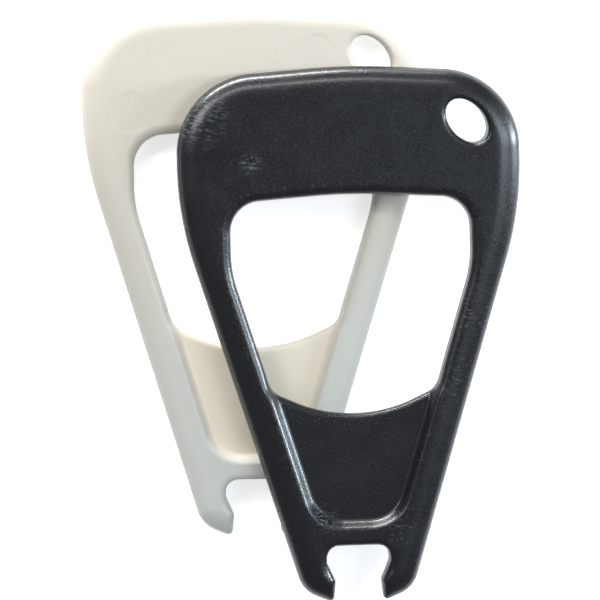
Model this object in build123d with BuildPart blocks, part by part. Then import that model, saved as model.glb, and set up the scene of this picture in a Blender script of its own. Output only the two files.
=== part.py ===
from build123d import *
import os
from math import cos, radians, sin, tan

# Two one-piece plastic pull handles of one moulding, laid flat, the black one on the ivory one.
# Millimetres. +Z is up through the stack, +Y runs towards the grips, the origin is the middle of
# the box's bottom. Each moulding is even about its mid-plane, where its two mould halves meet.

# the moulding's outline
LENGTH = 107.6            # grip edge to claw ends
WIDTH = 68.6              # across the shoulders
THICKNESS = 6.4
FOOT_WIDTH = 20.6         # where the two straight sides would meet the claw ends
SHOULDER_DROP = 29.5      # from the grip's edge to where the straight sides would reach full width
CROWN_DROP = 2.2          # how far the grip's edge falls from the middle to a shoulder
CROWN_RADIUS = 120.0
SHOULDER_RADIUS = 16.0
SIDE_RADIUS = 68.0        # where a shoulder runs into a straight side
CLAW_HEEL = 2.4           # height of each claw's outer corner above the claw ends
CLAW_RADIUS = 6.0
CLAW_TOE_RADIUS = 4.0
EDGE_ROUND = 2.9          # rounding along the outside, both faces

# the finger window
GRIP_DEPTH = 25.4         # the solid bar above the window
WINDOW_WIDTH = 48.2
WINDOW_HEIGHT = 47.3      # down to where the foot's two slopes would meet
STRUT_WIDTH = 6.8         # measured across the handle
WINDOW_CORNER = 6.2
WINDOW_SIDE_RADIUS = 24.0
WINDOW_FOOT_CORNER = 4.0
WINDOW_FOOT_RADIUS = 29.0
WINDOW_FOOT_SLOPE = 24.6  # degrees, the window's foot sags to the middle
INNER_ROUND = 1.2         # bevel around the window, both faces

# the thin web under the window
WEB_THICKNESS = 2.4
WEB_RIM = 7.9             # from the outside to the recess, measured across the handle
WEB_FOOT = 16.6           # solid plastic under the recess
WEB_RADIUS = 6.5
RECESS_START = 0.75       # share of the window's height where the recess begins, inside it

# the snap jaw
JAW_DEPTH = 11.5
JAW_WIDTH = 12.8
JAW_MOUTH = 9.4           # between the two barbs
JAW_CORNER = 2.5
JAW_SHELF_RADIUS = 0.8
JAW_BARB_RADIUS = 0.8
JAW_BARB = 4.3            # from the claw ends up to the barbs
JAW_SHELF = 8.1           # from the claw ends up to the lower end of the widest stretch
JAW_FLARE = 0.4           # how far each claw leans out below its barb
JAW_RUN_OUT = 2.0         # how far the cut runs on past the claw ends

# the hanging hole in one shoulder
HANG_LENGTH = 10.2
HANG_WIDTH = 6.9
HANG_X = 23.7
HANG_DROP = 11.6
HANG_TURN = -49.0         # degrees
HANG_BEVEL = 0.45

# how the two lie
IVORY_SPOT = (-8.6, 5.9)
IVORY_TURN = 0.5          # degrees
BLACK_SPOT = (10.6, -6.9)
BLACK_TURN = 1.36
SEAT_GAP = 0.05

ARC_SHARE = 0.98          # most of a straight run that the arcs at its two ends may take

TOP = LENGTH / 2
FOOT = -LENGTH / 2
SLOPE = (WIDTH - FOOT_WIDTH) / 2 / (LENGTH - SHOULDER_DROP)


def side_x(height, inset):
    """Half width of the straight side at a height above the claw ends, moved in by inset."""
    return FOOT_WIDTH / 2 + SLOPE * height - inset


def mirrored(right, radii, middle_first, middle_last):
    """A closed loop of corners and radii from its right half, between two corners on the axis."""
    left = [(-x, y) for x, y in reversed(right)]
    corners = [middle_first[0], *right, *([middle_last[0]] if middle_last else []), *left]
    rounds = [middle_first[1], *radii, *([middle_last[1]] if middle_last else []), *reversed(radii)]
    return corners, rounds


def rounded_loop(corners, radii):
    """A closed line with every corner rounded, by less where two arcs would run into each other."""
    points = [Vector(x, y) for x, y in corners]
    following = points[1:] + points[:1]
    runs = [end - start for start, end in zip(points, following)]
    turns = [radians(runs[i - 1].get_angle(run)) for i, run in enumerate(runs)]
    reach = [radius * tan(turn / 2) for radius, turn in zip(radii, turns)]
    shares = [min(1, ARC_SHARE * run.length / (reach[i] + reach[(i + 1) % len(runs)]))
              for i, run in enumerate(runs)]
    fitted = [radius * min(shares[i - 1], shares[i]) for i, radius in enumerate(radii)]
    return FilletPolyline(*points, radius=fitted, close=True)


def outline_corners():
    right = [(WIDTH / 2, TOP - CROWN_DROP), (WIDTH / 2, TOP - SHOULDER_DROP),
             (side_x(CLAW_HEEL, 0), FOOT + CLAW_HEEL), (JAW_MOUTH / 2, FOOT)]
    radii = [SHOULDER_RADIUS, SIDE_RADIUS, CLAW_RADIUS, CLAW_TOE_RADIUS]
    return mirrored(right, radii, ((0, TOP), CROWN_RADIUS), None)


def window_corners():
    top = TOP - GRIP_DEPTH
    drop = CROWN_DROP * WINDOW_WIDTH / WIDTH
    side_low = FOOT + (WINDOW_WIDTH / 2 + STRUT_WIDTH - FOOT_WIDTH / 2) / SLOPE
    sag = tan(radians(WINDOW_FOOT_SLOPE))
    apex = top - WINDOW_HEIGHT
    foot_x = side_x(apex - FOOT, STRUT_WIDTH) / (1 - SLOPE * sag)
    right = [(WINDOW_WIDTH / 2, top - drop), (WINDOW_WIDTH / 2, side_low), (foot_x, apex + sag * foot_x)]
    radii = [WINDOW_CORNER, WINDOW_SIDE_RADIUS, WINDOW_FOOT_CORNER]
    return mirrored(right, radii, ((0, top), CROWN_RADIUS), ((0, apex), WINDOW_FOOT_RADIUS))


def recess_corners():
    """The recess opens into the window, so its upper corners lie inside that opening."""
    top = TOP - GRIP_DEPTH - WINDOW_HEIGHT * RECESS_START - FOOT
    right = [(side_x(top, WEB_RIM), FOOT + top), (side_x(WEB_FOOT, WEB_RIM), FOOT + WEB_FOOT)]
    left = [(-x, y) for x, y in reversed(right)]
    return [*right, *left], [1.0, WEB_RADIUS, WEB_RADIUS, 1.0]


def jaw_corners():
    mouth = JAW_MOUTH / 2
    top_right = (JAW_WIDTH / 2, FOOT + JAW_DEPTH)
    right = [top_right, (JAW_WIDTH / 2, FOOT + JAW_SHELF), (mouth, FOOT + JAW_BARB),
             (mouth + JAW_FLARE, FOOT - JAW_RUN_OUT)]
    left = [(-x, y) for x, y in reversed(right)]
    radii = [JAW_CORNER, JAW_SHELF_RADIUS, JAW_BARB_RADIUS, 0.3]
    return [*right, *left], [*radii, *reversed(radii)]


def lying(spot, turn, height):
    """The mid-plane of a handle that lies flat, turned on the table."""
    east = (cos(radians(turn)), sin(radians(turn)), 0)
    return Plane(origin=(spot[0], spot[1], height), x_dir=east, z_dir=(0, 0, 1))


def outline_box(plane):
    with BuildSketch(plane) as outline:
        with BuildLine():
            rounded_loop(*outline_corners())
        make_face()
    return outline.sketch.bounding_box()


def moulding(middle):
    """One handle about its mid-plane: grip, two struts, web and snap jaw in one piece."""
    half = THICKNESS / 2
    edge_round = min(EDGE_ROUND, 0.91 * half)
    inner_round = min(INNER_ROUND, 0.38 * half)
    with BuildPart() as handle:
        with BuildSketch(middle):
            with BuildLine():
                rounded_loop(*outline_corners())
            make_face()
        extrude(amount=half, both=True)
        for face in (handle.faces().sort_by(Axis.Z)[-1], handle.faces().sort_by(Axis.Z)[0]):
            fillet(face.outer_wire().edges(), edge_round)

        # the window through both faces, then the recess on each
        with BuildSketch(middle):
            with BuildLine():
                rounded_loop(*window_corners())
            make_face()
        extrude(amount=THICKNESS, both=True, mode=Mode.SUBTRACT)
        for face in (handle.faces().sort_by(Axis.Z)[-1], handle.faces().sort_by(Axis.Z)[0]):
            chamfer(face.inner_wires()[0].edges(), inner_round)
        for side in (1, -1):
            with BuildSketch(middle.offset(side * WEB_THICKNESS / 2)):
                with BuildLine():
                    rounded_loop(*recess_corners())
                make_face()
            extrude(amount=side * THICKNESS, mode=Mode.SUBTRACT)

        # the jaw
        with BuildSketch(middle):
            with BuildLine():
                rounded_loop(*jaw_corners())
            make_face()
        extrude(amount=THICKNESS, both=True, mode=Mode.SUBTRACT)

        # the hanging hole
        with BuildSketch(middle):
            with Locations((HANG_X, TOP - HANG_DROP)):
                Ellipse(HANG_LENGTH / 2, HANG_WIDTH / 2, rotation=HANG_TURN)
        extrude(amount=THICKNESS, both=True, mode=Mode.SUBTRACT)
        for face in (handle.faces().sort_by(Axis.Z)[-1], handle.faces().sort_by(Axis.Z)[0]):
            chamfer(face.inner_wires().sort_by(SortBy.LENGTH)[0].edges(), HANG_BEVEL)
    return handle


# the origin is the middle of both outlines' common box
ivory_box = outline_box(lying(IVORY_SPOT, IVORY_TURN, 0))
black_box = outline_box(lying(BLACK_SPOT, BLACK_TURN, 0))
low_x = min(ivory_box.min.X, black_box.min.X)
high_x = max(ivory_box.max.X, black_box.max.X)
low_y = min(ivory_box.min.Y, black_box.min.Y)
high_y = max(ivory_box.max.Y, black_box.max.Y)
shift_x = (low_x + high_x) / 2
shift_y = (low_y + high_y) / 2
ivory_spot = (IVORY_SPOT[0] - shift_x, IVORY_SPOT[1] - shift_y)
black_spot = (BLACK_SPOT[0] - shift_x, BLACK_SPOT[1] - shift_y)
print("ivory middle", ivory_spot, "black middle", black_spot)

ivory_handle = moulding(lying(ivory_spot, IVORY_TURN, THICKNESS / 2))
ivory_handle.part.label = "ivory_handle"

black_handle = moulding(lying(black_spot, BLACK_TURN, THICKNESS * 1.5 + SEAT_GAP))
black_handle.part.label = "black_handle"

os.makedirs("parts", exist_ok=True)
export_step(ivory_handle.part, "parts/ivory_handle.step")
export_step(black_handle.part, "parts/black_handle.step")
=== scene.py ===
# %% [markdown]
# # Two moulded pull handles
#
# This object is a pair of flat loop handles from one mould, a black one lying on an ivory one.
# Each is a single piece of plastic: a grip bar, two struts, a thin web and an open jaw. The packed
# CAD model says where each handle lies. Here both get the surface that the mould gives them.

import bpy
import numpy as np
from mathutils import Matrix, Vector
from mathutils.geometry import delaunay_2d_cdt


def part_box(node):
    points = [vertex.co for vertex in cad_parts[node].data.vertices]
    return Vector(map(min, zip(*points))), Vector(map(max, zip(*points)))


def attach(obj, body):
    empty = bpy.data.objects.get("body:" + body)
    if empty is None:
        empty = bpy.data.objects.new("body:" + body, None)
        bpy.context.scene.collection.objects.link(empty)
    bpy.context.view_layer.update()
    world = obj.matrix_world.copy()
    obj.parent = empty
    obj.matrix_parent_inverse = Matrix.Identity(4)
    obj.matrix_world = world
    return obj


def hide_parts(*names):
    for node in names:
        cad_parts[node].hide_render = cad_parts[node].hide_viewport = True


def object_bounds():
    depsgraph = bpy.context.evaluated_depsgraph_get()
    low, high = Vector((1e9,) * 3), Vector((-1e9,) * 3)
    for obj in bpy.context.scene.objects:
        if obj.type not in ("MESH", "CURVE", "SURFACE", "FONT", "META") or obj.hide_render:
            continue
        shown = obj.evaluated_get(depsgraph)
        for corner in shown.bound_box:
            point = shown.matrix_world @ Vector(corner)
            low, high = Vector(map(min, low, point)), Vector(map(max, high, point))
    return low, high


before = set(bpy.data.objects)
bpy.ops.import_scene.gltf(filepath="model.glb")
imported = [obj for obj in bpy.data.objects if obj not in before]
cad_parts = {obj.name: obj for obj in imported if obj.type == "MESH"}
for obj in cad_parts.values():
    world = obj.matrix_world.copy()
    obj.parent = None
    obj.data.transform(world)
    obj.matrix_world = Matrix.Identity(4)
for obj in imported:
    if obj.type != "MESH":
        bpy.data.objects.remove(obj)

cad_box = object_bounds()
handles = {"ivory": "ivory_handle", "black": "black_handle"}
turns = {"ivory": np.radians(0.5), "black": np.radians(1.36)}      # how each lies turned on the table
print("CAD box", cad_box)

# %% [markdown]
# ## Stage, camera and light
#
# A flat object with rounded edges is told apart from a paper cut-out only by what its edges
# reflect. So four long soft lamps do most of the work: two beyond the grips, for the light along
# the top edges, and two on the right, for the band down the right-hand strut. In each pair the low
# lamp lights the steep outer part of the rounding and the high one the gentle part further in. A
# fifth, square and high on the left, fills in the shade. The camera looks almost straight down,
# leaning a few degrees from the upper left.

# %% Camera
low, high = (np.array(corner) for corner in cad_box)
middle = (low + high) / 2
LEAN = np.radians(6.5)
REACH = 1.20                 # metres from the object to the camera
FIELD = 0.120                # metres that the picture spans at the object
LEAN_SHARE = 0.7             # how much of the lean goes to the left, and as much to beyond
AIM_ASIDE = (-0.0004, 0.0005)    # metres from the middle
AIM_HEIGHT = 0.75            # share of the whole height

camera_data = bpy.data.cameras.new("camera")
camera_data.lens = camera_data.sensor_width * REACH / FIELD
camera = bpy.data.objects.new("camera", camera_data)
bpy.context.collection.objects.link(camera)
away = Vector((-np.sin(LEAN) * LEAN_SHARE, np.sin(LEAN) * LEAN_SHARE, np.cos(LEAN))).normalized()
aim = Vector((middle[0] + AIM_ASIDE[0], middle[1] + AIM_ASIDE[1], high[2] * AIM_HEIGHT))
right = Vector((0, 1, 0)).cross(away).normalized()
up = away.cross(right)
camera.location = aim + away * REACH
camera.rotation_euler = Matrix((right, up, away)).transposed().to_euler()
bpy.context.scene.camera = camera
bpy.context.scene.view_settings.view_transform = "Standard"
print("camera lens", round(camera_data.lens, 1), "mm")


# %% Lamps and world
def soft_lamp(name, spot, size, watts, colour=(1, 1, 1)):
    """A rectangular lamp at spot, in metres, that faces the middle of the object."""
    data = bpy.data.lights.new(name, "AREA")
    data.shape = "RECTANGLE"
    data.size, data.size_y = size
    data.energy = watts
    data.color = colour
    lamp = bpy.data.objects.new(name, data)
    bpy.context.collection.objects.link(lamp)
    lamp.location = spot
    lamp.rotation_euler = (Vector(middle) - Vector(spot)).to_track_quat("-Z", "Y").to_euler()


COOL = (0.78, 0.90, 1.0)
soft_lamp("lamp_beyond_grips", (-0.16, 0.50, 0.060), (0.42, 0.06), 4.6)
soft_lamp("lamp_right", (0.50, 0.08, 0.040), (0.05, 0.45), 4.0, COOL)
soft_lamp("lamp_high_right", (0.35, 0.06, 0.52), (0.07, 0.30), 1.1, COOL)
soft_lamp("lamp_high_beyond", (-0.05, 0.38, 0.48), (0.30, 0.06), 0.7)
soft_lamp("lamp_fill_left", (-0.45, 0.35, 0.60), (0.30, 0.30), 2.0)

world = bpy.data.worlds.new("room")
bpy.context.scene.world = world
world.use_nodes = True
sky = world.node_tree.nodes["Background"]
sky.inputs["Color"].default_value = (0.93, 0.96, 1.0, 1)
sky.inputs["Strength"].default_value = 0.26


# %% Floor
FLOOR = 3.0                  # metres from the middle to each side
FLOOR_GAP = 0.0002           # metres between the floor and the lower handle
FLOOR_GLOW = 0.62


def link(tree, source, target):
    tree.links.new(source, target)


def white_floor():
    """A diffuse sheet that keeps shadows, and that glows only to the camera and in reflections."""
    material = bpy.data.materials.new("floor_paper")
    material.use_nodes = True
    tree = material.node_tree
    shader = tree.nodes["Principled BSDF"]
    shader.inputs["Base Color"].default_value = (0.9, 0.9, 0.9, 1)
    shader.inputs["Roughness"].default_value = 0.9
    path = tree.nodes.new("ShaderNodeLightPath")
    seen = tree.nodes.new("ShaderNodeMath")
    seen.operation = "MAXIMUM"
    link(tree, path.outputs["Is Camera Ray"], seen.inputs[0])
    link(tree, path.outputs["Is Glossy Ray"], seen.inputs[1])
    glow = tree.nodes.new("ShaderNodeMath")
    glow.operation = "MULTIPLY"
    glow.inputs[1].default_value = FLOOR_GLOW
    link(tree, seen.outputs[0], glow.inputs[0])
    shader.inputs["Emission Color"].default_value = (1, 1, 1, 1)
    link(tree, glow.outputs[0], shader.inputs["Emission Strength"])
    return material


floor_mesh = bpy.data.meshes.new("floor")
floor_mesh.from_pydata([(-FLOOR, -FLOOR, 0), (FLOOR, -FLOOR, 0), (FLOOR, FLOOR, 0), (-FLOOR, FLOOR, 0)],
                       [], [(0, 1, 2, 3)])
floor = bpy.data.objects.new("floor", floor_mesh)
floor.location.z = low[2] - FLOOR_GAP
bpy.context.collection.objects.link(floor)
floor_mesh.materials.append(white_floor())
print("stage ready")

# %% [markdown]
# ## The outline
#
# A moulded handle starts as an outline of straight runs and arcs. Each loop below is a few
# corners, each with its own radius, in millimetres in the handle's own axes: y up to the grip,
# zero at mid height. The left half is the right half mirrored.

# %% Driving sizes, millimetres
LENGTH, WIDTH, HALF = 107.6, 68.6, 3.2  # half the thickness
TOP, FOOT = LENGTH / 2, -LENGTH / 2
FOOT_HALF = 10.3                        # half the width where the sides would meet the claw ends
SHOULDER_DROP, SHOULDER_RADIUS, SIDE_RADIUS = 29.5, 16.0, 68.0
SLOPE = (WIDTH / 2 - FOOT_HALF) / (LENGTH - SHOULDER_DROP)
CROWN_DROP, CROWN_RADIUS = 2.2, 120.0
GRIP_DEPTH, WINDOW_HALF, WINDOW_HEIGHT = 25.4, 24.1, 47.3
WINDOW_RADII = [6.2, 24.0, 4.0]         # upper corner, bend in the side, foot corner
WINDOW_SAG, WINDOW_FOOT_RADIUS = np.radians(24.6), 29.0
STRUT, RIM = 6.8, 7.9                   # outside to window, outside to recess
WEB_HALF, WEB_FOOT = 1.2, 16.6          # half the web's thickness, claw ends to recess
RECESS_TOP = 0.75                       # share of the window's height where the recess begins
RECESS_RADII = [1.0, 6.5]
CLAW_HEEL, CLAW_RADIUS = 2.4, 6.0
TOE_HALF, TOE_DROP, TOE_RADIUS = 5.1, 0.1, 0.9
JAW_RIGHT = [(6.4, FOOT + 11.5), (6.4, FOOT + 8.1), (4.7, FOOT + 4.3)]   # roof, shelf, barb
JAW_RADII = [2.5, 0.8, 0.8]
MOUTH_HALF, MOUTH_BELOW, MOUTH_RADIUS = 5.2, 1.5, 0.3                    # jaw's end past the claws
HOLE_MIDDLE, HOLE_HALF_AXES = [23.7, TOP - 11.6], (5.1, 3.45)
HOLE_TILT = np.radians(-49.0)
SEAM = 0.07                             # how far the parting line stands out
print("each side spreads", round(SLOPE, 4), "mm for each mm up")


# %% Rounded loops
def spaced(loop, step):
    """The same closed line with its points an even step apart."""
    closed = np.vstack([loop, loop[:1]])
    run = np.r_[0, np.cumsum(np.linalg.norm(np.diff(closed, axis=0), axis=1))]
    marks = np.linspace(0, run[-1], int(round(run[-1] / step)), endpoint=False)
    return np.c_[np.interp(marks, run, closed[:, 0]), np.interp(marks, run, closed[:, 1])]


def rounded_loop(corners, radii, step):
    """A closed line whose corners are arcs.

    At a corner the line turns by t. An arc of radius r starts r * tan(t / 2) before the corner
    and its middle lies r / cos(t / 2) from the corner, along the line that halves the corner.
    """
    points = []
    corners = np.array(corners, float)
    for before, corner, after, radius in zip(np.roll(corners, 1, 0), corners,
                                             np.roll(corners, -1, 0), radii):
        come = (corner - before) / np.linalg.norm(corner - before)
        go = (after - corner) / np.linalg.norm(after - corner)
        turn = np.arctan2(come[0] * go[1] - come[1] * go[0], come @ go)
        inward = (go - come) / np.linalg.norm(go - come)
        centre = corner + inward * radius / np.cos(turn / 2)
        start = corner - come * radius * np.tan(abs(turn) / 2) - centre
        angles = np.linspace(0, turn, max(4, int(abs(turn) * radius / step) + 2))
        points.append(centre + np.c_[start[0] * np.cos(angles) - start[1] * np.sin(angles),
                                     start[0] * np.sin(angles) + start[1] * np.cos(angles)])
    return spaced(np.vstack(points), step)


def mirrored(right, radii, first=None, last=None):
    """Corners and radii of a whole loop from its right half, with a corner on the axis or none."""
    left = [(-x, y) for x, y in reversed(right)]
    ends = [first] if first else []
    feet = [last] if last else []
    corners = [e[0] for e in ends] + right + [e[0] for e in feet] + left
    return corners, [e[1] for e in ends] + radii + [e[1] for e in feet] + radii[::-1]


def strut_x(y, inset):
    """Half width of the straight side at y, moved in by inset."""
    return FOOT_HALF + SLOPE * (y - FOOT) - inset


# %% Outside, jaw, window, recess and hole
STEP = 0.55                             # between the points of a loop
RIM_STEP = STEP / 1.5
outer_right = [(WIDTH / 2, TOP - CROWN_DROP), (WIDTH / 2, TOP - SHOULDER_DROP),
               (strut_x(FOOT + CLAW_HEEL, 0), FOOT + CLAW_HEEL), (TOE_HALF, FOOT - TOE_DROP)]
outer_radii = [SHOULDER_RADIUS, SIDE_RADIUS, CLAW_RADIUS, TOE_RADIUS]
crown = ((0, TOP), CROWN_RADIUS)
outer = rounded_loop(*mirrored(outer_right, outer_radii, crown), STEP)
jaw_right = JAW_RIGHT + [(MOUTH_HALF, FOOT - MOUTH_BELOW)]
jaw = rounded_loop(*mirrored(jaw_right, JAW_RADII + [MOUTH_RADIUS]), STEP)
rim = rounded_loop(*mirrored(outer_right + JAW_RIGHT[::-1], outer_radii + JAW_RADII[::-1], crown), RIM_STEP)

side_low = FOOT + (WINDOW_HALF + STRUT - FOOT_HALF) / SLOPE
sag = np.tan(WINDOW_SAG)
apex = TOP - GRIP_DEPTH - WINDOW_HEIGHT
foot_x = strut_x(apex, STRUT) / (1 - SLOPE * sag)
window_right = [(WINDOW_HALF, TOP - GRIP_DEPTH - CROWN_DROP * WINDOW_HALF * 2 / WIDTH),
                (WINDOW_HALF, side_low), (foot_x, apex + sag * foot_x)]
window = rounded_loop(*mirrored(window_right, WINDOW_RADII, ((0, TOP - GRIP_DEPTH), CROWN_RADIUS),
                                ((0, apex), WINDOW_FOOT_RADIUS)), STEP)

recess_top = TOP - GRIP_DEPTH - WINDOW_HEIGHT * RECESS_TOP
recess_right = [(strut_x(recess_top, RIM), recess_top), (strut_x(FOOT + WEB_FOOT, RIM), FOOT + WEB_FOOT)]
recess = rounded_loop(*mirrored(recess_right, RECESS_RADII), STEP)

circle = np.linspace(0, 2 * np.pi, 400, endpoint=False)
oval = np.c_[HOLE_HALF_AXES[0] * np.cos(circle), HOLE_HALF_AXES[1] * np.sin(circle)]
turned_oval = oval @ np.array([[np.cos(HOLE_TILT), np.sin(HOLE_TILT)],
                               [-np.sin(HOLE_TILT), np.cos(HOLE_TILT)]])
hole = spaced(np.array(HOLE_MIDDLE) + turned_oval, STEP)
print("loops", {"rim": len(rim), "window": len(window), "hole": len(hole)})

# %% [markdown]
# ## From outline to surface
#
# One face of the handle is a height over the plane: full height on the grip, rolled down along
# the outside, softened around the window and stepped down to the web. Every one of those is a
# function of the distance to a loop. A mesh made of rings that follow the loops, with an even
# grid between, catches those curves with few triangles, so that is how the points are laid.


# %% Distance to a loop
BATCH = 1500                # points measured at once, to keep the arrays small


def segments(loop):
    return loop, np.roll(loop, -1, 0) - loop


def distance(points, loop):
    """Distance from each point to a closed line: the least over its segments, where the nearest
    place on a segment is the point's projection on it, held between the two ends."""
    start, along = segments(loop)
    length2 = (along ** 2).sum(1)
    best = np.empty(len(points))
    for part in np.array_split(np.arange(len(points)), max(1, len(points) // BATCH)):
        offset = points[part, None, :] - start[None]
        share = np.clip((offset * along).sum(2) / length2, 0, 1)
        best[part] = np.sqrt(((offset - share[..., None] * along) ** 2).sum(2).min(1))
    return best


def inside(points, loop):
    """True where a line from the point to the far right crosses the loop an odd number of times."""
    start, along = segments(loop)
    end = start + along
    result = np.empty(len(points), bool)
    for part in np.array_split(np.arange(len(points)), max(1, len(points) // BATCH)):
        x, y = points[part, 0, None], points[part, 1, None]
        spans = (start[:, 1] > y) != (end[:, 1] > y)
        rise = np.where(along[:, 1] == 0, 1, along[:, 1])
        cross = start[:, 0] + (y - start[:, 1]) / rise * along[:, 0]
        result[part] = (spans & (x < cross)).sum(1) % 2 == 1
    return result


print("least plastic around the hole", round(float(distance(hole, outer).min()), 2), "mm")


# %% Height of one face
ROLL = 4.7                  # how far in the outside's rounding reaches
RIM_LOW = 0.3               # half height left at the outside
STEP_WIDTH = 1.9            # the recess wall, seen from above
WINDOW_FALL, WINDOW_REACH = 1.75, 1.9   # the window's edge: drop and reach on the thick part
WEB_SPARED = 0.9                        # how much less of both on the thin web
CLAW_TOP, CLAW_FADE = 9.0, 3            # where the claws' extra softening starts, and its run-in
JAW_FALL, JAW_REACH = (0.8, 0.8), (1.1, 0.9)    # at the jaw's edge, and what the claws add
HOLE_FALL, HOLE_REACH = 0.7, 0.9
PIN_MARKS = ((-24.8, TOP - 22.1), (12.5, TOP - 10.9))
PIN_RADIUS, PIN_EDGE, PIN_DEPTH = 4.15, 0.4, 0.025      # dents that the mould's ejectors leave
CREASE_IN, CREASE_WIDTH = 1.7, 0.55
WEB_START, FAR = -0.5, 9                # deeper in the recess than this, no edge counts as near


def quarter(d, reach):
    """One at the loop and nought beyond reach, falling as a quarter of an ellipse."""
    share = np.clip(d / reach, 0, 1)
    return 1 - np.sqrt(np.clip(1 - (1 - share) ** 2, 0, 1))


def smooth(t):
    """Nought to one without a corner: 3 t squared less 2 t cubed."""
    t = np.clip(t, 0, 1)
    return t * t * (3 - 2 * t)


def face_height(points):
    """Half thickness at each point, and masks for the web and the creases.

    The web's step rises smoothly from WEB_HALF to HALF across STEP_WIDTH outside the recess loop.
    Loop edges take a quarter ellipse off that: ROLL of it outside, WINDOW_REACH at the window. The
    crease mask is a bell over the distance in from the window's or the recess's edge.
    """
    outside, opening = distance(points, outer), distance(points, window)
    step = distance(points, recess) * np.where(inside(points, recess), -1, 1)
    rise = smooth(step / STEP_WIDTH)
    base = WEB_HALF + (HALF - WEB_HALF) * rise
    thin = 1 - rise
    softened = quarter(opening, WINDOW_REACH - WEB_SPARED * thin)
    height = base - (WINDOW_FALL - WEB_SPARED * thin) * softened
    height = np.minimum(height, RIM_LOW + (HALF - RIM_LOW) * (1 - quarter(outside, ROLL)))
    low_end = smooth((FOOT + CLAW_TOP - points[:, 1]) / CLAW_FADE)
    claws = quarter(distance(points, jaw), JAW_REACH[0] + JAW_REACH[1] * low_end)
    height = height - (JAW_FALL[0] + JAW_FALL[1] * low_end) * np.minimum(height / HALF, 1) * claws
    height = height - HOLE_FALL * quarter(distance(points, hole), HOLE_REACH)
    for spot in PIN_MARKS:
        reach = np.linalg.norm(points - spot, axis=1)
        height = height - PIN_DEPTH * smooth((PIN_RADIUS - reach) / PIN_EDGE)
    edge = np.minimum(opening, np.where(step > WEB_START, step, FAR))
    crease = np.exp(-((edge - CREASE_IN) / CREASE_WIDTH) ** 2)
    return height, {"thin": thin, "crease": crease}


print("thickness", {"grip": 2 * HALF, "web": 2 * WEB_HALF}, "mm")


# %% Points on rings and on a grid
PROBE = 0.05                # a short step off a loop, to learn which side it leads to
SPOILED = 0.02              # a ring point may miss its depth by less than this
PITCH = 0.75                # of the even grid
ROW = PITCH * 0.866         # rows of nearly equal-sided triangles
RING_CLEAR, GRID_CLEAR = 0.12, 0.4      # free points keep this far from the borders
EDGE_QUIET, HOLE_QUIET = 2.0, 1.0       # nearer than this the rings take over from the grid
WALL_MIDDLE, WALL_QUIET = 0.8, 1.3      # the same around the middle of the recess wall
PIN_RINGS = (3.6, 3.9, 4.2)
CELL = 0.16                 # one free point is kept in each square of this size


def rings(loop, inward, depths):
    """Copies of a loop moved along its own normals, less the points that a tight bend spoils."""
    along = np.roll(loop, -1, 0) - np.roll(loop, 1, 0)
    normal = np.c_[-along[:, 1], along[:, 0]] / np.linalg.norm(along, axis=1)[:, None]
    if inside(loop[:1] + normal[:1] * PROBE, loop)[0] != inward:
        normal = -normal
    found = [loop + normal * depth for depth in depths]
    sound = [ring[np.abs(distance(ring, loop) - depth) < SPOILED] for ring, depth in zip(found, depths)]
    points = np.vstack(sound)
    return points[on_plastic(points)]


def on_plastic(points, clear=RING_CLEAR):
    """True inside the rim, outside both openings, and more than clear from all three borders."""
    solid = inside(points, rim) & ~inside(points, window) & ~inside(points, hole)
    near = np.minimum(distance(points, rim), np.minimum(distance(points, window), distance(points, hole)))
    return solid & (near > clear)


def eased(reach, count):
    """Depths that crowd towards the loop, as 1 - cos does."""
    return reach * (1 - np.cos(np.linspace(0, np.pi / 2, count + 1)[1:]))


grid_x, grid_y = np.meshgrid(np.arange(-WIDTH / 2, WIDTH / 2, PITCH), np.arange(FOOT, TOP, ROW))
grid_x[::2] += PITCH / 2
grid = np.c_[grid_x.ravel(), grid_y.ravel()]
grid = grid[on_plastic(grid, GRID_CLEAR)]
quiet = (distance(grid, outer) > ROLL) & (distance(grid, hole) > HOLE_QUIET)
quiet &= (distance(grid, window) > EDGE_QUIET) & (distance(grid, jaw) > EDGE_QUIET)
quiet &= np.abs(distance(grid, recess) - WALL_MIDDLE) > WALL_QUIET
grid = grid[quiet]

# each loop, whether its rings lie inside it, and how deep they lie
ring_plan = [(outer, True, eased(ROLL, 12)), (window, False, eased(WINDOW_REACH, 7)),
             (jaw, False, eased(sum(JAW_REACH), 6)), (hole, False, eased(HOLE_REACH, 4)),
             (recess, False, np.linspace(0.0, STEP_WIDTH, 8)), (recess, True, [0.4, 0.8])]
edge_rings = [rings(loop, inward, depths) for loop, inward, depths in ring_plan]
pin_rings = [np.array(spot) + radius * np.c_[np.cos(circle[::5]), np.sin(circle[::5])]
             for spot in PIN_MARKS for radius in PIN_RINGS]
free = np.vstack(edge_rings + pin_rings + [grid])
_, first_in_cell = np.unique(np.round(free / CELL).astype(int), axis=0, return_index=True)
free = free[np.sort(first_in_cell)]
print("free points", len(free))


# %% Triangulate one face
SAME_POINT = 1e-7           # border points nearer than this count as one
borders = [rim, window, hole]
starts = np.cumsum([0] + [len(loop) for loop in borders])
flat = np.vstack(borders + [free])
fences = np.vstack([np.c_[np.arange(len(loop)), np.roll(np.arange(len(loop)), -1)] + start
                    for loop, start in zip(borders, starts)])
verts_2d, _, triangles, origins, _, _ = delaunay_2d_cdt(
    [Vector(p) for p in flat.tolist()], fences.tolist(), [], 0, SAME_POINT)
sheet = np.array([tuple(v) for v in verts_2d])
triangles = np.array(triangles)
centres = sheet[triangles].mean(1)
triangles = triangles[inside(centres, rim) & ~inside(centres, window) & ~inside(centres, hole)]
place = np.full(len(flat), -1)
for new, old in enumerate(origins):
    place[old] = new
a, b, c = (sheet[triangles[:, k]] for k in range(3))
signed = (b[:, 0] - a[:, 0]) * (c[:, 1] - a[:, 1]) - (b[:, 1] - a[:, 1]) * (c[:, 0] - a[:, 0])
triangles[signed < 0] = triangles[signed < 0][:, ::-1]
height, masks = face_height(sheet)
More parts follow.
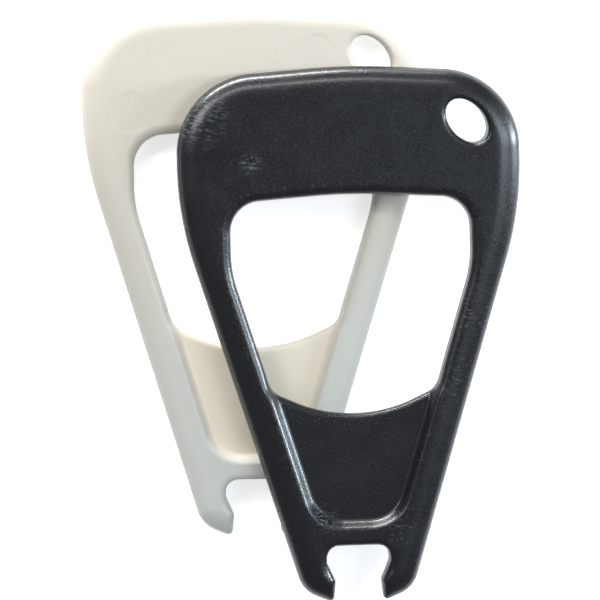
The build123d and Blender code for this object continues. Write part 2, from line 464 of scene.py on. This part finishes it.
print("one face:", len(sheet), "points,", len(triangles), "triangles")


# %% Close the shell
WALL_PROBE = 0.3            # a step off a border, long enough to land on plastic or clear of it
WALL_ROWS = ((0.45, 0.0), (0.09, 0.25), (0.03, 1.0), (-0.03, 1.0), (-0.09, 0.25), (-0.45, 0.0))


def wall(loop, ids, count, first_new):
    """Rows of points down the wall of one loop, from the upper face to the lower one.

    Each entry of WALL_ROWS is a height, as a share of the face's own, and how proud the row
    stands, as a share of SEAM. The proud rows are the line where the two mould halves met.
    """
    along = np.roll(loop, -1, 0) - np.roll(loop, 1, 0)
    normal = np.c_[along[:, 1], -along[:, 0]] / np.linalg.norm(along, axis=1)[:, None]
    if on_plastic(loop[:1] + normal[:1] * WALL_PROBE, 0.0)[0]:
        normal = -normal
    edge = height[ids]
    rows, points = [ids], []
    for level, proud in WALL_ROWS:
        points.append(np.c_[loop + normal * SEAM * proud, edge * level])
        rows.append(first_new + np.arange(len(loop)))
        first_new += len(loop)
    rows.append(ids + count)
    quads = []
    for upper, lower in zip(rows, rows[1:]):
        quads.append(np.c_[upper, lower, np.roll(lower, -1), np.roll(upper, -1)])
    quads = np.vstack(quads)
    edge_run = np.r_[loop[1] - loop[0], 0]
    faces_out = np.cross([0, 0, -1.0], edge_run) @ np.r_[normal[0], 0] > 0
    return np.vstack(points), quads if faces_out else quads[:, ::-1]


count = len(sheet)
shell = [np.c_[sheet, height], np.c_[sheet, -height]]
quads = []
total = 2 * count
for loop, start in zip(borders, starts):
    extra, strip = wall(loop, place[start:start + len(loop)], count, total)
    shell.append(extra)
    quads.append(strip)
    total += len(extra)
shell = np.vstack(shell)
faces = triangles.tolist() + (triangles[:, ::-1] + count).tolist() + np.vstack(quads).tolist()
on_walls = np.zeros(total - 2 * count)
masks = {name: np.r_[mask, mask, on_walls] for name, mask in masks.items()}
print("shell:", len(shell), "points,", len(faces), "faces")

# %% [markdown]
# ## Shared finishes
#
# Both colours came out of one mould, so they share its fine grain and its faint unevenness, one node
# group placed with other values in the black and in the ivory. The way that handling scuffs the plastic
# is a second node group, placed only in the black.


# %% Node helpers
def new_group(name, inputs, outputs):
    """A shader node group with named sockets: inputs as (name, kind, default), outputs as names."""
    group = bpy.data.node_groups.new(name, "ShaderNodeTree")
    for label, kind, default in inputs:
        socket = group.interface.new_socket(name=label, in_out="INPUT", socket_type=kind)
        if default is not None:
            socket.default_value = default
    for label in outputs:
        group.interface.new_socket(name=label, in_out="OUTPUT", socket_type="NodeSocketFloat")
    return group, group.nodes.new("NodeGroupInput"), group.nodes.new("NodeGroupOutput")


def math_node(tree, operation, first, second=None):
    node = tree.nodes.new("ShaderNodeMath")
    node.operation = operation
    for socket, value in zip(node.inputs, (first, second)):
        if value is None:
            continue
        if isinstance(value, (int, float)):
            socket.default_value = value
        else:
            link(tree, value, socket)
    return node.outputs[0]


def noise_node(tree, vector, scale, detail=3.0, rough=0.55):
    node = tree.nodes.new("ShaderNodeTexNoise")
    node.inputs["Detail"].default_value = detail
    node.inputs["Roughness"].default_value = rough
    link(tree, vector, node.inputs["Vector"])
    if isinstance(scale, (int, float)):
        node.inputs["Scale"].default_value = scale
    else:
        link(tree, scale, node.inputs["Scale"])
    return node.outputs[0]


def ramp_node(tree, value, low_end, high_end, out_low=0.0, out_high=1.0):
    node = tree.nodes.new("ShaderNodeMapRange")
    node.interpolation_type = "SMOOTHSTEP"
    ends = {"From Min": low_end, "From Max": high_end, "To Min": out_low, "To Max": out_high}
    for label, number in ends.items():
        node.inputs[label].default_value = number
    link(tree, value, node.inputs["Value"])
    return node.outputs["Result"]


# %% Mould grain
SPECKLE = (0.58, 0.74)       # noise values where a bright tip starts and where it is full


def mould_grain_group():
    """Height: fine grain plus a slow unevenness. Speckle: the grain's bright tips, 0 to 1."""
    group, enter, leave = new_group(
        "mould_grain", [("Vector", "NodeSocketVector", None), ("Grain Scale", "NodeSocketFloat", 2600.0),
                        ("Wave Scale", "NodeSocketFloat", 90.0), ("Wave Share", "NodeSocketFloat", 1.0)],
        ["Height", "Speckle"])
    fine = noise_node(group, enter.outputs["Vector"], enter.outputs["Grain Scale"], 2.0)
    slow = noise_node(group, enter.outputs["Vector"], enter.outputs["Wave Scale"], 1.0)
    waved = math_node(group, "MULTIPLY", slow, enter.outputs["Wave Share"])
    link(group, math_node(group, "ADD", fine, waved), leave.inputs["Height"])
    link(group, ramp_node(group, fine, *SPECKLE), leave.inputs["Speckle"])
    return group


# %% Scuff patch
STREAK_TURN, STREAK_SQUEEZE, STREAK_SCALE = 0.7, 2.6, 900.0
FADE = (1.0, 0.2)            # shares of the reach where a patch starts and where it is full
COVER_LIFT = 0.3             # how much full cover adds to the noise
BROKEN = (0.66, 0.8)         # noise values where a mark starts and where it is full


def scuff_patch_group():
    """Mask: broken, streaky marks that fade out from a centre, over a reach in metres."""
    group, enter, leave = new_group(
        "scuff_patch", [("Vector", "NodeSocketVector", None), ("Centre", "NodeSocketVector", (0, 0, 0)),
                        ("Reach", "NodeSocketFloat", 0.005), ("Cover", "NodeSocketFloat", 0.5)], ["Mask"])
    offset = group.nodes.new("ShaderNodeVectorMath")
    offset.operation = "DISTANCE"
    link(group, enter.outputs["Vector"], offset.inputs[0])
    link(group, enter.outputs["Centre"], offset.inputs[1])
    share = math_node(group, "DIVIDE", offset.outputs["Value"], enter.outputs["Reach"])
    near = ramp_node(group, share, *FADE)
    stretch = group.nodes.new("ShaderNodeMapping")
    stretch.inputs["Rotation"].default_value = (0, 0, STREAK_TURN)
    stretch.inputs["Scale"].default_value = (1.0, STREAK_SQUEEZE, 1.0)
    link(group, enter.outputs["Vector"], stretch.inputs["Vector"])
    marks_noise = noise_node(group, stretch.outputs["Vector"], STREAK_SCALE, 4.0, 0.7)
    lift = math_node(group, "MULTIPLY", enter.outputs["Cover"], COVER_LIFT)
    broken = ramp_node(group, math_node(group, "ADD", marks_noise, lift), *BROKEN)
    link(group, math_node(group, "MULTIPLY", broken, near), leave.inputs["Mask"])
    return group


mould_grain, scuff_patch = mould_grain_group(), scuff_patch_group()
print("groups", [group.name for group in (mould_grain, scuff_patch)])


# %% Plastic materials
def place_group(tree, group, vector, **values):
    node = tree.nodes.new("ShaderNodeGroup")
    node.node_tree = group
    link(tree, vector, node.inputs["Vector"])
    for label, value in values.items():
        node.inputs[label.replace("_", " ")].default_value = value
    return node


def mask_of(tree, name):
    node = tree.nodes.new("ShaderNodeAttribute")
    node.attribute_name = name
    return node.outputs["Fac"]


def tinted(tree, share, first, second):
    """Mix two colours, each a socket or a plain colour, by a share."""
    node = tree.nodes.new("ShaderNodeMix")
    node.data_type = "RGBA"
    link(tree, share, node.inputs["Factor"])
    for socket, value in ((node.inputs[6], first), (node.inputs[7], second)):
        if isinstance(value, tuple):
            socket.default_value = (*value, 1)
        else:
            link(tree, value, socket)
    return node.outputs[2]


def plastic(name, relief, strength):
    """A material with a Principled shader, object coordinates and a bump, ready for its finish."""
    material = bpy.data.materials.new(name)
    material.use_nodes = True
    tree = material.node_tree
    shader = tree.nodes["Principled BSDF"]
    vector = tree.nodes.new("ShaderNodeTexCoord").outputs["Object"]
    bump = tree.nodes.new("ShaderNodeBump")
    bump.inputs["Distance"].default_value = relief
    bump.inputs["Strength"].default_value = strength
    link(tree, bump.outputs["Normal"], shader.inputs["Normal"])
    shader.inputs["IOR"].default_value = 1.5
    return material, tree, shader, vector, bump


# %% Place on the table
MM = 1000                    # millimetres in a metre


def turned(points, lean):
    """The points turned about the vertical: x cos - y sin, x sin + y cos, z."""
    return np.c_[points[:, 0] * np.cos(lean) - points[:, 1] * np.sin(lean),
                 points[:, 0] * np.sin(lean) + points[:, 1] * np.cos(lean), points[:, 2]]


def placed(body, points):
    """Turn the handle on the table and set its box's middle on the CAD node's, in metres."""
    frame_box = np.array(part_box(handles[body]))
    whole = turned(shell, turns[body])
    offset = frame_box.mean(0) - (whole.min(0) + whole.max(0)) / 2 / MM
    return turned(points, turns[body]) / MM + offset


def handle_point(body, x, y):
    """A place on a handle, given in its own millimetres, as a point of the whole model."""
    return Vector(placed(body, np.array([[x, y, HALF]]))[0])


for body in handles:
    print(body, "grip's middle, metres", [round(value, 4) for value in handle_point(body, 0.0, TOP)])


# %% [markdown]
# ### Black
#
# The black is carbon-black plastic with a satin mould grain. It is never one black: the grain's
# tips catch the light, and where the handle has rubbed against others the skin is scraped grey.
# The scuffs sit where hands and edges meet it: the left shoulder, the grip's right, the creases
# of the right strut and the foot of the web.

# %% Black plastic
BLACK, BLACK_TIP, BLACK_WORN = (0.003, 0.004, 0.006), (0.010, 0.013, 0.017), (0.16, 0.18, 0.20)
RUBBED_SHARE, WORN_SHARE = 0.5, 0.6     # how strongly the creases and all the wear show
BLACK_SATIN = (0.45, 1.05, 0.26, 0.42)  # two heights of the grain, then the roughness at each
BLACK_GRAIN = {"Grain_Scale": 2300.0, "Wave_Scale": 160.0, "Wave_Share": 0.5}
BLACK_SCUFFS = [((-30.5, TOP - 9.0), 0.0085, 0.55),     # place in mm, reach in metres, cover
                ((10.0, TOP - 20.5), 0.008, 0.1), ((19.0, TOP - 22.0), 0.006, 0.1),
                ((-20.0, TOP - 19.0), 0.003, 0.6), ((24.5, TOP - 50.0), 0.008, 0.3),
                ((18.5, TOP - 62.0), 0.009, 0.35), ((-6.5, FOOT + 17.5), 0.004, 0.6),
                ((4.0, FOOT + 25.0), 0.005, 0.2), ((8.5, FOOT + 14.0), 0.004, 0.4)]


def black_plastic():
    """Near black with greyer tips, and light grey where the scuffs and the rubbed creases are."""
    material, tree, shader, vector, bump = plastic("black_plastic", 0.00009, 0.55)
    grain = place_group(tree, mould_grain, vector, **BLACK_GRAIN)
    link(tree, grain.outputs["Height"], bump.inputs["Height"])
    scuffs = None
    for (x, y), reach, cover in BLACK_SCUFFS:
        centre = handle_point("black", x, y)
        mask = place_group(tree, scuff_patch, vector, Centre=centre, Reach=reach, Cover=cover).outputs["Mask"]
        scuffs = mask if scuffs is None else math_node(tree, "MAXIMUM", scuffs, mask)
    rubbed = math_node(tree, "MULTIPLY", mask_of(tree, "crease"), grain.outputs["Speckle"])
    worn = math_node(tree, "MAXIMUM", scuffs, math_node(tree, "MULTIPLY", rubbed, RUBBED_SHARE))
    speckled = tinted(tree, grain.outputs["Speckle"], BLACK, BLACK_TIP)
    colour = tinted(tree, math_node(tree, "MULTIPLY", worn, WORN_SHARE), speckled, BLACK_WORN)
    link(tree, colour, shader.inputs["Base Color"])
    link(tree, ramp_node(tree, grain.outputs["Height"], *BLACK_SATIN), shader.inputs["Roughness"])
    shader.inputs["Specular IOR Level"].default_value = 0.45
    shader.inputs["Coat Weight"].default_value = 0.4
    shader.inputs["Coat Roughness"].default_value = 0.2
    print(material.name, len(tree.nodes), "nodes,", len(BLACK_SCUFFS), "scuffs")
    return material


# %% [markdown]
# ### Ivory
#
# The ivory is natural, unpainted plastic, so light goes a little way in. Painted light makes thin places such
# as the web paler and warmer, so thick ones look greyer, and a painted shade cools it slightly towards the
# jaw.

# %% Ivory plastic
# The jaw colour is a painted shade: the ivory greyer and darker towards the jaw, where less light falls.
IVORY_GRIP, IVORY_JAW_SHADE = (0.69, 0.64, 0.55), (0.66, 0.675, 0.63)
# The thin colour is painted light: the web paler and warmer, for light through it and against the shade of
# its recess.
IVORY_WEB_PAINTED_LIGHT, IVORY_TIP, TIP_SHARE = (0.90, 0.82, 0.68), (0.86, 0.83, 0.76), 0.12
# Where along y the painted shade towards the jaw begins and where it is full.
JAW_SHADE_FROM, JAW_SHADE_TO = 0.045, -0.05     # metres along y
IVORY_SATIN = (0.6, 1.9, 0.33, 0.46)    # two heights of the grain, then the roughness at each
IVORY_GRAIN = {"Grain_Scale": 1900.0, "Wave_Scale": 110.0, "Wave_Share": 1.6}


def ivory_plastic():
    """Ivory with paler tips, a painted shade that darkens and cools it from grip to jaw, and painted light
    that makes the thin web paler and warmer.
    """
    material, tree, shader, vector, bump = plastic("ivory_plastic", 0.00005, 0.35)
    grain = place_group(tree, mould_grain, vector, **IVORY_GRAIN)
    link(tree, grain.outputs["Height"], bump.inputs["Height"])
    split = tree.nodes.new("ShaderNodeSeparateXYZ")
    link(tree, vector, split.inputs[0])
    # Painted shade: the colour goes greyer and darker from the grip to the jaw.
    jaw_shade = ramp_node(tree, split.outputs["Y"], JAW_SHADE_FROM, JAW_SHADE_TO)
    body = tinted(tree, jaw_shade, IVORY_GRIP, IVORY_JAW_SHADE)
    # Painted light: the thin web paler and warmer, for light through it and against its recess's shade.
    web_lit = tinted(tree, mask_of(tree, "thin"), body, IVORY_WEB_PAINTED_LIGHT)
    tips = math_node(tree, "MULTIPLY", grain.outputs["Speckle"], TIP_SHARE)
    link(tree, tinted(tree, tips, web_lit, IVORY_TIP), shader.inputs["Base Color"])
    link(tree, ramp_node(tree, grain.outputs["Height"], *IVORY_SATIN), shader.inputs["Roughness"])
    shader.inputs["Subsurface Weight"].default_value = 0.25
    shader.inputs["Subsurface Scale"].default_value = 0.002
    shader.inputs["Subsurface Radius"].default_value = (1.0, 0.8, 0.5)
    print(material.name, len(tree.nodes), "nodes")
    return material


# %% [markdown]
# ## The two handles
#
# The same shell is set down twice. Its points go into place in the mesh itself, so each object
# stays at the origin and rides on its own body.

# %% Handles
def moulded_handle(body, material):
    """One handle's mesh from the shared shell, smooth, with its masks as point attributes."""
    name = body + "_moulding"
    mesh = bpy.data.meshes.new(name)
    mesh.from_pydata(placed(body, shell).tolist(), [], faces)
    for label, mask in masks.items():
        mesh.attributes.new(label, "FLOAT", "POINT").data.foreach_set("value", mask.astype(np.float32))
    mesh.polygons.foreach_set("use_smooth", np.ones(len(mesh.polygons), bool))
    mesh.materials.append(material)
    mesh.update()
    piece = bpy.data.objects.new(name, mesh)
    bpy.context.collection.objects.link(piece)
    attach(piece, body)
    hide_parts(handles[body])
    print(name, len(mesh.vertices), "points,", len(mesh.polygons), "faces")


moulded_handle("ivory", ivory_plastic())
moulded_handle("black", black_plastic())
